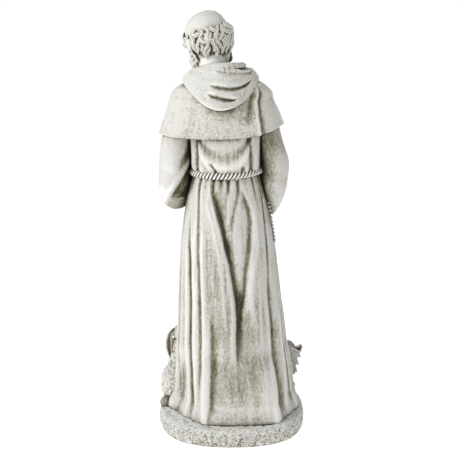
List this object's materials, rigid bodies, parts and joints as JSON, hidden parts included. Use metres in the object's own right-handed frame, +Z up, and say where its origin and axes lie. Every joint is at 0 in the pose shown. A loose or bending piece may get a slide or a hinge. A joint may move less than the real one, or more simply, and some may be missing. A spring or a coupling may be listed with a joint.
{
  "type": "garden statue of a friar saint",
  "caption": "Standing robed friar saint with a dove in the hands, a lamb and a wolf at the sides, cast in one on a rough oval base.",
  "frame": {"origin": "middle of the underside of the base, on the ground", "axes": "+Z up along the figure, the figure faces -Y, +X is the figure's left"},
  "size_m": [0.3284, 0.2541, 0.9008],
  "materials": {
    "cast_stone": "matte, creamy white with a grey-green wash in the folds"
  },
  "bodies": {
    "root": {"saint_francis_statue": "cast_stone"}
  },
  "joints": []
}
